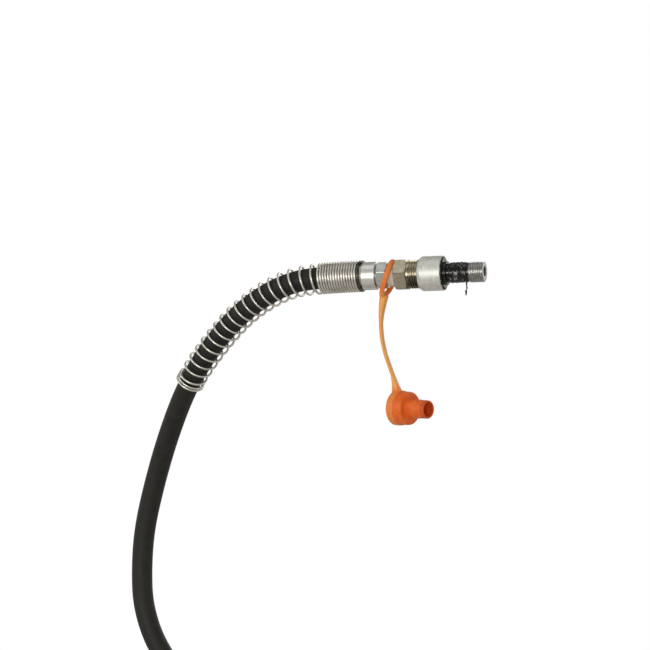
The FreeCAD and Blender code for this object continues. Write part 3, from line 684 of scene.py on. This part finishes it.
STRAP_ROUTE = [Vector((x, 0, z)) * MM for x, z in (
    (-70.2, -15.4), (-72.9, -27.0), (-73.9, -42.0), (-72.0, -57.5), (-67.6, -71.5), (-64.0, -82.0),
    (-62.6, -92.5))]
COIL_CENTRE = Vector((-211.3, 14.0, -351.8)) * MM
COIL_POINTS_PER_TURN = 16
COIL_POINTS = 20
COIL_RADIUS = 88.0
COIL_SPACING = 20.0
SWING_OUT = 9.0             # how far the coil swings out under the hanging hose
SWING_AT = 0.88             # turns
SWING_WIDTH = 0.12          # turns
FERRULE_RISE = 2.4          # the far ferrule is thicker than the hose, so its end lies higher


def coil_radius(turns):
    """The coil's radius after some turns: it swings out where it passes under the hanging hose."""
    swing = SWING_OUT * math.exp(-((turns - SWING_AT) / SWING_WIDTH) ** 2)
    return (COIL_RADIUS + COIL_SPACING * turns + swing) * MM


def coil_points():
    """The coil's turns: a slow spiral on the floor."""
    points = []
    for index in range(1, COIL_POINTS + 1):
        turns = (index - 0.5) / COIL_POINTS_PER_TURN
        angle = TURN * (turns - 0.25)
        reach = coil_radius(turns) / math.cos(math.pi / COIL_POINTS_PER_TURN)
        points.append(COIL_CENTRE + Vector((math.cos(angle), -math.sin(angle), 0)) * reach)
    for point in points[-2:]:
        point.z += FERRULE_RISE * MM
    return points


def make_hose(rubber):
    """The hose itself, from the ferrule to the far end of the coil."""
    route = HOSE_ROUTE + coil_points()
    hose = spline_object("hose", route, bevel=HOSE_RADIUS * MM, resolution=14)
    hose.data.materials.append(rubber)
    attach(hose, "hose_half")
    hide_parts("hose_run", "hose_coil")


def far_place():
    """The far hose end's place: its x axis starts at the fitting's tip and runs to the hose."""
    points = coil_points()
    heading = (points[-1] - points[-2]).normalized()
    tip = points[-1] + heading * HOSE_END_LENGTH * MM
    turn = (-heading).to_track_quat("X", "Z").to_matrix().to_4x4()
    return Matrix.Translation(tip) @ turn


# --- port half --------------------------------------------

def make_nipple(paint, steel):
    """The nipple: bare thread in the port, then the painted neck and its end inside the coupler."""
    neck_start = 11.9
    bare = threaded(0, neck_start - 0.5, NIPPLE_RADIUS, *PIPE_THREAD)
    bare += [(neck_start, 7.7), (neck_start, NIPPLE_BORE), (0.4, NIPPLE_BORE), (0, NIPPLE_BORE + 0.4)]
    mesh = revolved("nipple_thread", bare, place=station(NIPPLE_START))
    show("nipple_thread", mesh, steel, "port_half")
    painted = rounded([(neck_start, NIPPLE_NECK_RADIUS), (29.6, NIPPLE_NECK_RADIUS), (29.6, NIPPLE_RADIUS),
                       (37.2, NIPPLE_RADIUS), (38, 7.5), (38, NIPPLE_BORE), (neck_start, NIPPLE_BORE)])
    mesh = revolved("nipple", painted, place=station(NIPPLE_START))
    show("nipple", mesh, paint, "port_half", ["port_nipple"])


# Creases of the painted tape: where they lie, how they slant, their width and height.
TAPE_CREASES = ((3.2, 3.1, 0.32, 0.26), (5.6, -4.2, 0.30, -0.30), (7.2, 3.4, 0.38, 0.36),
                (8.9, -3.6, 0.32, 0.34), (9.8, 4.6, 0.30, -0.30), (11.0, -3.0, 0.35, 0.26))


def crumple(x, angle):
    """The relief of crumpled tape in millimetres: a few slanting creases, gathers and lumps."""
    height = 0.0
    for seat, slope, width, rise in TAPE_CREASES:
        line = seat + slope * math.sin(angle + seat * 2.3) + 0.5 * math.sin(3 * angle + seat)
        gather = 0.5 + 0.5 * math.sin(2 * angle + seat * 1.7)
        height += rise * gather * math.exp(-((x - line) / width) ** 2)
    around = Vector((math.cos(angle) * 2.2, math.sin(angle) * 2.2, x * 0.55 + 40))
    height += 0.22 * noise.noise(around)
    ridged = abs(noise.noise(Vector((math.cos(angle) * 1.6, math.sin(angle) * 1.6, x * 0.45 + 7))))
    return height + 0.35 * (0.25 - ridged)


def make_nipple_tape(paint):
    """Sealing tape wound on the neck and painted over, with its crumples."""
    length, seat = 14.6, 7.55
    rows = 110

    def wrap(x, angle):
        taper = seat + 0.2 + 0.25 * min(1, x / 9.0)
        ends = min(1, x / 0.8, (length - x) / 0.8)
        return seat + (taper - seat + max(crumple(x, angle), -0.3) * 0.9 + 0.12) * max(ends, 0.05)

    rings = [(0, 7.3)]
    rings += [(length * index / rows, wrap) for index in range(rows + 1)]
    rings += [(length, 7.3)]
    mesh = revolved("nipple_wrap", rings, segments=200, place=station(NIPPLE_TAPE_START))
    show("nipple_wrap", mesh, paint, "port_half", ["nipple_tape"], sharp=None)


def make_tape_tail(paint):
    """The tape's loose end, twisted into a string with a knot."""
    strand, sizes = [], []
    count = 46
    for index in range(count):
        t = index / (count - 1)
        bend = -3.0 + 0.5 * math.sin(5 * t) + 0.2 * math.sin(17 * t)
        strand.append(Vector((bend, -1.5 + 0.8 * t, -7.6 - 10.6 * t)) * MM)
        swell = 0.22 * math.sin(11 * t) ** 2
        knot = 0.2 if 28 < index < 41 else 0
        sizes.append((0.42 + swell + knot) * MM * min(1, (count - index) / 3))
    mesh = tube_mesh("tape_tail", strand, sizes, sides=10)
    show("tape_tail", mesh, paint, "port_half", sharp=None)


def make_socket(paint):
    """The port half's body: painted boss, flange behind the collar, and the barrel with its seal groove."""
    boss = [(0, NIPPLE_RADIUS), (0, 9.4, 0.9), (2.4, 9.4, 0.15)]
    flange = [(2.4, FLANGE_RADIUS, 0.4), (8.5, FLANGE_RADIUS), (8.5, 11.2), (10.3, 11.2),
              (10.3, FLANGE_RADIUS), (12.4, FLANGE_RADIUS, 0.2)]
    barrel = [(12.4, BARREL_RADIUS, 0.1), (18.5, BARREL_RADIUS), (18.5, 8.0), (20.0, 8.0),
              (20.0, BARREL_RADIUS), (20.9, BARREL_RADIUS, 0.3)]
    bores = [(20.9, SEAT_BORE, 0.1), (19.7, SEAT_BORE), (17.0, VALVE_BORE), (9.6, VALVE_BORE), (9.6, 7.2),
             (8.4, 7.2), (8.4, NIPPLE_RADIUS)]
    mesh = revolved("port_body", rounded(boss + flange + barrel + bores), place=station(SOCKET_START))
    show("port_body", mesh, paint, "port_half", ["socket_body"])


def make_collar(zinc):
    """The threaded collar, with the groove for its retaining ring."""
    rear_bore, front_bore, groove = 12.3, 11.7, 13.05
    outside = [(0, rear_bore, 0.1), (0, 12.9, 0.2), (0.9, COLLAR_RADIUS, 0.5), (17.0, COLLAR_RADIUS, 0.5),
               (19.5, 12.15, 0.25)]
    inside = [(19.5, front_bore, 0.2), (10.4, front_bore), (10.4, rear_bore), (7.5, rear_bore), (7.5, groove),
              (5.3, groove), (5.3, rear_bore)]
    mesh = revolved("screw_collar", rounded(outside + inside), segments=160, place=station(COLLAR_START))
    show("screw_collar", mesh, zinc, "collar", ["collar"])


# --- hose half --------------------------------------------

def make_plug(nickel):
    """The hose half's body: coupler thread, relief, hexagon and the bores inside."""
    barrel_bore, relief = 9.6, 10.6
    hex_start, hex_end = 16.5, 26.6
    rings = [(0.3, barrel_bore), (0, barrel_bore + 0.3)]
    rings += threaded(0, 15.0, COUPLER_THREAD_RADIUS, *COUPLER_THREAD)
    rings += [(15.0, relief), (16.3, relief), (hex_start, relief + 0.2)]
    rings += hexagon(hex_start, hex_end, COUPLER_HEX_FLATS, 1.0)
    rings += [(hex_end, 8.8), (26.4, FITTING_THREAD_RADIUS), (18.4, FITTING_THREAD_RADIUS), (18.4, 7.2),
              (17.2, 7.2), (17.2, VALVE_BORE), (9.8, VALVE_BORE), (7.1, SEAT_BORE), (5.9, SEAT_BORE),
              (5.9, barrel_bore)]
    mesh = revolved("plug_half", rings, segments=192, place=station(PLUG_START))
    show("plug_half", mesh, nickel, "hose_half", ["plug_body"], sharp=24)


def make_neck_tape(tape):
    """Unpainted sealing tape that squeezes out between the hexagons."""
    length, rows, fold_pitch = 6.4, 44, 1.15

    def wrap(x, angle):
        fold = 0.16 * math.sin(TURN * (x / fold_pitch - angle / TURN) + 0.8 * math.sin(2 * angle))
        lump = 0.2 * noise.noise(Vector((math.cos(angle) * 3, math.sin(angle) * 3, x)))
        return 8.78 + fold + lump

    rings = [(0, 8.45)] + [(length * index / rows, wrap) for index in range(rows + 1)] + [(length, 8.45)]
    mesh = revolved("neck_wrap", rings, segments=144, place=station(NECK_TAPE_START))
    show("neck_wrap", mesh, tape, "hose_half", ["fitting_tape"], sharp=None)


def make_fitting(name, steel, place, node):
    """The hose fitting: pipe thread, hexagon and barbed stem."""
    neck, lip, barb_root, barb_crest = 7.6, 5.0, 3.0, 3.3
    rings = [(0.3, FITTING_BORE), (0, FITTING_BORE + 0.3)]
    rings += threaded(0, FITTING_THREAD_LENGTH, FITTING_THREAD_RADIUS, *PIPE_THREAD)
    rings += hexagon(FITTING_THREAD_LENGTH, FITTING_HEX_END, FITTING_HEX_FLATS, 0.6, twist=FITTING_HEX_TWIST)
    rings += [(FITTING_HEX_END, neck), (FERRULE_START, neck), (FERRULE_START, lip), (LIP_END, lip)]
    for barb in range(BARB_COUNT):
        foot = LIP_END + BARB_PITCH * barb
        rings += [(foot, barb_root), (foot + 1.2, barb_crest), (foot + 3.8, barb_root)]
    stem_end = LIP_END + BARB_PITCH * BARB_COUNT
    rings += [(stem_end, barb_root), (stem_end, FITTING_BORE)]
    mesh = revolved(name, rings, segments=168, place=place)
    return show(name, mesh, steel, "hose_half", [node], sharp=24)


def make_ferrule(name, steel, place, node):
    """The ferrule: a turned shell whose hose end is squeezed by eight dies."""
    shoulder, crimp_depth, rows = 34.6, 0.28, 40
    crimp_start, crimp_length = 35.3, 25.6

    def crimp(x, angle):
        ridge = abs(math.cos(CRIMP_DIES / 2 * angle)) ** 14
        into = step_up(x, shoulder, 0.8) * step_up(-x, 0.4 - HOSE_END_LENGTH, 0.8)
        return FERRULE_CRIMPED_RADIUS - crimp_depth * (1 - ridge) * into

    rings = rounded([(FERRULE_START, 5.0), (FERRULE_START, FERRULE_RADIUS, 0.55),
                     (shoulder, FERRULE_RADIUS, 0.3), (35.2, FERRULE_CRIMPED_RADIUS + 0.02)])
    rings += [(crimp_start + crimp_length * index / rows, crimp) for index in range(rows + 1)]
    rings += rounded([(HOSE_END_LENGTH, FERRULE_CRIMPED_RADIUS, 0.5), (HOSE_END_LENGTH, HOSE_RADIUS, 0.2),
                      (LIP_END, HOSE_RADIUS), (LIP_END, 5.0)])
    mesh = revolved(name, rings, segments=160, place=place)
    return show(name, mesh, steel, "hose_half", [node])


def guard_pitch(turn):
    """The spring guard's pitch in millimetres at a turn: closed, opening out round the bend, then closed."""
    if turn < GUARD_CLOSED_TURNS:
        return GUARD_CLOSED_PITCH
    if turn < GUARD_OPEN_FROM:
        return GUARD_STEP_PITCH
    if turn < GUARD_OPEN_FROM + GUARD_OPEN_TURNS:
        return GUARD_OPEN_PITCH + (turn - GUARD_OPEN_FROM) / GUARD_OPEN_TURNS
    return GUARD_END_PITCH


def make_guard(steel):
    """The spring guard: one wire, wound close on the ferrule and open round the bend of the hose."""
    track = Track(spline_points(GUARD_ROUTE))
    per_turn, opening_length = 44, 60.0
    turns = GUARD_OPEN_FROM + GUARD_OPEN_TURNS + GUARD_END_TURNS
    closed_length = GUARD_CLOSED_TURNS * GUARD_CLOSED_PITCH
    points, end_coil_shade = [], []
    distance = 0.0
    total = int(per_turn * turns)
    drift = [RNG.uniform(-1, 1) for _ in range(40)]
    for index in range(total + 1):
        turn = index / per_turn
        opened = step_up(distance, closed_length, opening_length)
        radius = GUARD_CLOSED_RADIUS * (1 - opened) + GUARD_OPEN_RADIUS * opened
        sway = drift[int(turn)] * (1 - turn % 1) + drift[int(turn) + 1] * (turn % 1)
        radius += sway * (0.05 + 0.10 * opened)
        point, direction = track.at(distance * MM)
        upward = Y_AXIS.cross(direction)
        angle = TURN * turn
        points.append(point + (upward * math.cos(angle) + Y_AXIS * math.sin(angle)) * radius * MM)
        # Painted shade on about the first turn of the guard, fading out by a turn and a third.
        end_coil_shade.append(step_up(-turn, -1.35, 0.25))
        smooth_pitch = sum(guard_pitch(turn + shift) for shift in (-0.18, -0.09, 0, 0.09, 0.18)) / 5
        distance += smooth_pitch * (1 + 0.012 * sway) / per_turn
    sides = 14
    mesh = tube_mesh("guard_coils", points, WIRE_RADIUS * MM, sides=sides)
    mesh.transform(BEND_TILT)
    dark = mesh.attributes.new("end_coil_shade", "FLOAT", "POINT")
    for index in range(len(mesh.vertices)):
        dark.data[index].value = end_coil_shade[min(index // sides, total)]
    show("guard_coils", mesh, steel, "hose_half", ["spring_guard"], sharp=60)


def tie_line(apart, thick):
    """The middle of the strap as (x, z) round two turns of hose, and on until its end laps over."""
    legs = (2 * apart, math.pi * HOSE_RADIUS, 2 * apart)
    steps, laps = 160, 1.12
    line = []
    for step in range(steps + 1):
        t = step / steps * laps
        lap = step_up(t, 0.94, 0.06) * 0.7
        along = (t % 1.0) * (4 * apart + TURN * HOSE_RADIUS)
        reach = HOSE_RADIUS + thick / 2 + lap
        if along < legs[0]:
            line.append((-apart + along, reach))
        elif along < legs[0] + legs[1]:
            turn = (along - legs[0]) / HOSE_RADIUS
            line.append((apart + reach * math.sin(turn), reach * math.cos(turn)))
        elif along < sum(legs):
            line.append((apart - (along - legs[0] - legs[1]), -reach))
        else:
            turn = (along - sum(legs)) / HOSE_RADIUS
            line.append((-apart - reach * math.sin(turn), -reach * math.cos(turn)))
    return line


# The strap's section: soft edges, as parts of half its width and of its thickness.
STRAP_SECTION = ((-1, -0.5), (-1.02, 0), (-1, 0.5), (-0.5, 0.54), (0, 0.55), (0.5, 0.54), (1, 0.5), (1.02, 0),
                 (1, -0.5), (0, -0.5))


def make_tie(weave):
    """The hook-and-loop strap round the two turns of the coil, with its free end lapped over."""
    turns, width, thick = 0.0625, 14.0, 0.8
    angle = -TURN * (turns - 0.25)
    first, second = coil_radius(turns) / MM, coil_radius(turns + 1) / MM
    line = tie_line((second - first) / 2, thick)
    loops = []
    for index, (x, z) in enumerate(line):
        before, after = line[max(index - 1, 0)], line[min(index + 1, len(line) - 1)]
        run = Vector((after[0] - before[0], 0, after[1] - before[1])).normalized()
        outward = Y_AXIS.cross(run)
        loops.append([(Vector((x, side * width / 2, z)) + outward * lift * thick * 0.9) * MM
                      for side, lift in STRAP_SECTION])
    mesh = skinned("coil_strap", loops)
    centre = COIL_CENTRE + Vector((math.cos(angle), math.sin(angle), 0)) * (first + second) / 2 * MM
    mesh.transform(Matrix.Translation(centre) @ Matrix.Rotation(angle, 4, "Z"))
    return show("coil_strap", mesh, weave, "hose_half", ["coil_tie"], sharp=50)


# --- dust cap ---------------------------------------------

CAP_SWING = Matrix.Rotation(math.radians(1.7), 4, "X")
CAP_PLACE = (CAP_SWING @ Matrix.Translation((-63.4 * MM, 1.9 * MM, -104.3 * MM))
             @ Matrix.Rotation(math.radians(-24), 4, "Z") @ Matrix.Rotation(math.radians(3.5), 4, "Y"))


def boxy(value, power):
    """A cosine or sine pushed outward, which makes a round section nearly square."""
    return math.copysign(abs(value) ** power, value)


def cap_strap():
    """The strap: soft-edged and flat, thicker where it leaves the ring and where it joins the cap's rim."""
    path = spline_points(STRAP_ROUTE, resolution=12)
    sides = 20
    angles = [TURN * side / sides for side in range(sides)]
    half_widths, half_thicks = [], []
    for index, point in enumerate(path):
        t = index / (len(path) - 1)
        top, foot = max(0, 1 - t / 0.24), max(0, (t - 0.80) / 0.20)
        point.x += 0.5 * foot ** 2 * MM
        half_widths.append((6.2 + 1.8 * top + 1.2 * foot) / 2)
        half_thicks.append((2.6 + 3.8 * top ** 1.3 + 5.4 * foot ** 2) / 2)
    loops = []
    for index, point in enumerate(path):
        before, after = path[max(index - 1, 0)], path[min(index + 1, len(path) - 1)]
        outward = Y_AXIS.cross((after - before).normalized()).normalized()
        loop = []
        for angle in angles:
            across = boxy(math.cos(angle), 0.45) * half_widths[index]
            lift = boxy(math.sin(angle), 0.6) * half_thicks[index]
            loop.append(point + Y_AXIS * across * MM + outward * lift * MM)
        loops.append(loop)
    return skinned("cap_strap", loops)


def cap_ring():
    """The ring round the neck: flat-sided, and pulled to a point where the strap pulls down on it."""
    centre = Vector((-66.15, 0, -1.95))
    tilt, bow = math.radians(19.5), 1.3
    half_thick, half_width = 1.35, 2.0
    upward = Vector((math.sin(tilt), 0, math.cos(tilt)))
    axle = Y_AXIS.cross(upward)
    stops, sides = 120, 16
    loops = []
    for index in range(stops):
        angle = TURN * index / stops
        reach = 13.6 + 1.9 * max(0, -math.cos(angle)) ** 5
        outward = upward * math.cos(angle) + Y_AXIS * math.sin(angle)
        middle = centre + outward * reach + X_AXIS * bow * math.sin(angle) ** 2
        loop = []
        for side in range(sides):
            turn = TURN * side / sides
            out = boxy(math.cos(turn), 0.5) * half_thick
            along = boxy(math.sin(turn), 0.5) * half_width
            loop.append((middle + outward * out + axle * along) * MM)
        loops.append(loop)
    return skinned("cap_loop", loops, joined=True)


def run_together(name, meshes):
    """One mesh from several that overlap, with the corners between them softened."""
    work = bmesh.new()
    for mesh in meshes:
        work.from_mesh(mesh)
    whole = bpy.data.meshes.new(name + "_rough")
    work.to_mesh(whole)
    work.free()
    rough = bpy.data.objects.new(name + "_rough", whole)
    scene.collection.objects.link(rough)
    remesh = rough.modifiers.new("remesh", "REMESH")
    remesh.mode = "VOXEL"
    remesh.voxel_size = 0.32 * MM
    smooth = rough.modifiers.new("smooth", "SMOOTH")
    smooth.factor, smooth.iterations = 0.5, 4
    bpy.context.view_layer.update()
    mesh = settled(rough)
    mesh.name = name
    return mesh


def mark_thinness_and_shade(mesh):
    """Tells the plastic where the moulding is thin, in the strap and rim, and where the nose's end takes
    painted shade.
    """
    thin = mesh.attributes.new("thin", "FLOAT", "POINT")
    nose_end_shade = mesh.attributes.new("nose_end_shade", "FLOAT", "POINT")
    inward = CAP_PLACE.inverted()
    for vertex in mesh.vertices:
        local = inward @ vertex.co / MM
        reach = math.hypot(local.y, local.z)
        strap = step_up(reach, 13.6, 4.5) * (1 - 0.72 * step_up(vertex.co.z / MM, -17.5, 5))
        on_cap = reach < 14.5 and local.x > -1
        rim = 0.4 * step_up(-local.x, -6.6, 0.4) if on_cap else 0
        thin.data[vertex.index].value = max(strap, rim)
        # Painted shade on the last few millimetres of the nose and its end face.
        nose_end_shade.data[vertex.index].value = step_up(local.x, 28.5, 0.8) * 0.75 if reach < 9 else 0


def make_dust_cap(plastic):
    """Cap, strap and ring as one soft moulding with its joints run together."""
    rim = [(12.0, 0), (12.0, CAP_BORE, 0.6), (0.0, CAP_BORE, 0.5), (0.0, CAP_RADIUS, 0.7), (6.3, 13.75, 0.3)]
    barrel = [(6.5, 13.2, 0.2), (14.4, 13.1, 1.9)]
    nose = [(14.4, 7.6, 0.5), (24.5, CAP_NOSE_RADIUS, 0.2), (24.9, 7.25, 0.2), (32.4, 7.2, 1.3),
            (32.8, CAP_NOSE_BORE, 0.5), (15.9, CAP_NOSE_BORE, 0.5), (15.9, 0)]
    cap = revolved("cap_shell", rounded(rim + barrel + nose), segments=144, place=CAP_PLACE)
    strap, ring = cap_strap(), cap_ring()
    strap.transform(CAP_SWING)
    ring.transform(CAP_SWING)
    mesh = run_together("cap_moulding", (cap, strap, ring))
    mark_thinness_and_shade(mesh)
    show("cap_moulding", mesh, plastic, "dust_cap", ["dust_cap"], sharp=None)


# --- the whole object -------------------------------------

make_camera()
make_world()
make_floor()
make_light("front_box", (-0.35, -2.5, -0.10), (-0.1, 0, -0.03), (1.9, 0.95), 19, (1, 0.985, 0.95))
make_light("spark", (-0.62, -2.1, -0.03), (0, 0, 0), (0.10, 0.10), 0.9, (1, 0.985, 0.95))
make_light("top_box", (-0.2, -0.5, 1.6), (-0.1, 0, 0), (1.6, 1.2), 3.0)
make_light("side_box", (-1.8, -0.9, 0.5), (-0.1, 0, -0.1), (0.8, 1.2), 4, (0.97, 0.985, 1))
make_light("rear_box", (0.7, 1.9, 0.9), (-0.1, 0, -0.1), (1.4, 0.9), 8)

near = station(FITTING_START)
far = far_place()
zinc = plated_steel("zinc_plate", (0.66, 0.67, 0.63), (0.52, 0.54, 0.51), 0.34, stain=(0.42, 0.43, 0.42))
turned_zinc = plated_steel("turned_zinc", (0.93, 0.92, 0.86), (0.78, 0.77, 0.72), 0.36, grain=0.3, rings=0.35)
enamel = black_enamel("black_enamel")
rubber = hose_rubber()
valve_steel = plated_steel("valve_steel", (0.66, 0.66, 0.65), (0.5, 0.5, 0.5), 0.25, grain=0.2, rings=0.2)

make_nipple(enamel, plated_steel("bare_steel", (0.62, 0.61, 0.58), (0.45, 0.44, 0.42), 0.3, grain=0.3))
painted_tape = black_enamel("painted_tape", wrinkles=0.15, bare=(0.55, 0.54, 0.50))
make_nipple_tape(painted_tape)
make_tape_tail(painted_tape)
make_socket(black_enamel("boss_enamel"))
make_collar(mottled_zinc())
# The nickel plate's thread is darkened on its lower side as painted shade.
make_plug(plated_steel("nickel_plate", (0.61, 0.55, 0.40), (0.44, 0.39, 0.28), 0.22, stain=(0.27, 0.23, 0.16),
                       lower_shade=(0.07, 0.06, 0.04)))
make_neck_tape(thread_tape())
make_fitting("near_fitting", zinc, near, "near_hose_fitting")
make_ferrule("near_shell", turned_zinc, near, "near_ferrule")
far_pieces = [make_fitting("far_fitting", zinc, far, "far_hose_fitting"),
              make_ferrule("far_shell", turned_zinc, far, "far_ferrule"), make_tie(tie_fabric())]
far_pieces += [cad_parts[name] for name in ("far_hose_liner", "far_hose_braid", "far_hose_cover")]
make_hose(rubber)
make_guard(wire_steel("guard_wire"))
make_dust_cap(soft_orange())

carried = {
    "collar_retaining_ring": wire_steel("ring_wire"),
    "coupler_seal": dark_rubber("seal_rubber"),
    "socket_valve_spring": wire_steel("valve_spring_wire"),
    "plug_valve_spring": wire_steel("valve_spring_wire_2"),
}
for prefix in ("socket", "plug"):
    carried[prefix + "_poppet"] = valve_steel
    carried[prefix + "_valve_guide"] = valve_steel
for prefix in ("near", "far"):
    carried[prefix + "_hose_liner"] = dark_rubber(prefix + "_liner_rubber")
    carried[prefix + "_hose_braid"] = wire_braid()
    carried[prefix + "_hose_cover"] = rubber
for name, paint in carried.items():
    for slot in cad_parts[name].material_slots:
        slot.material = paint

scene.view_settings.view_transform = "Standard"
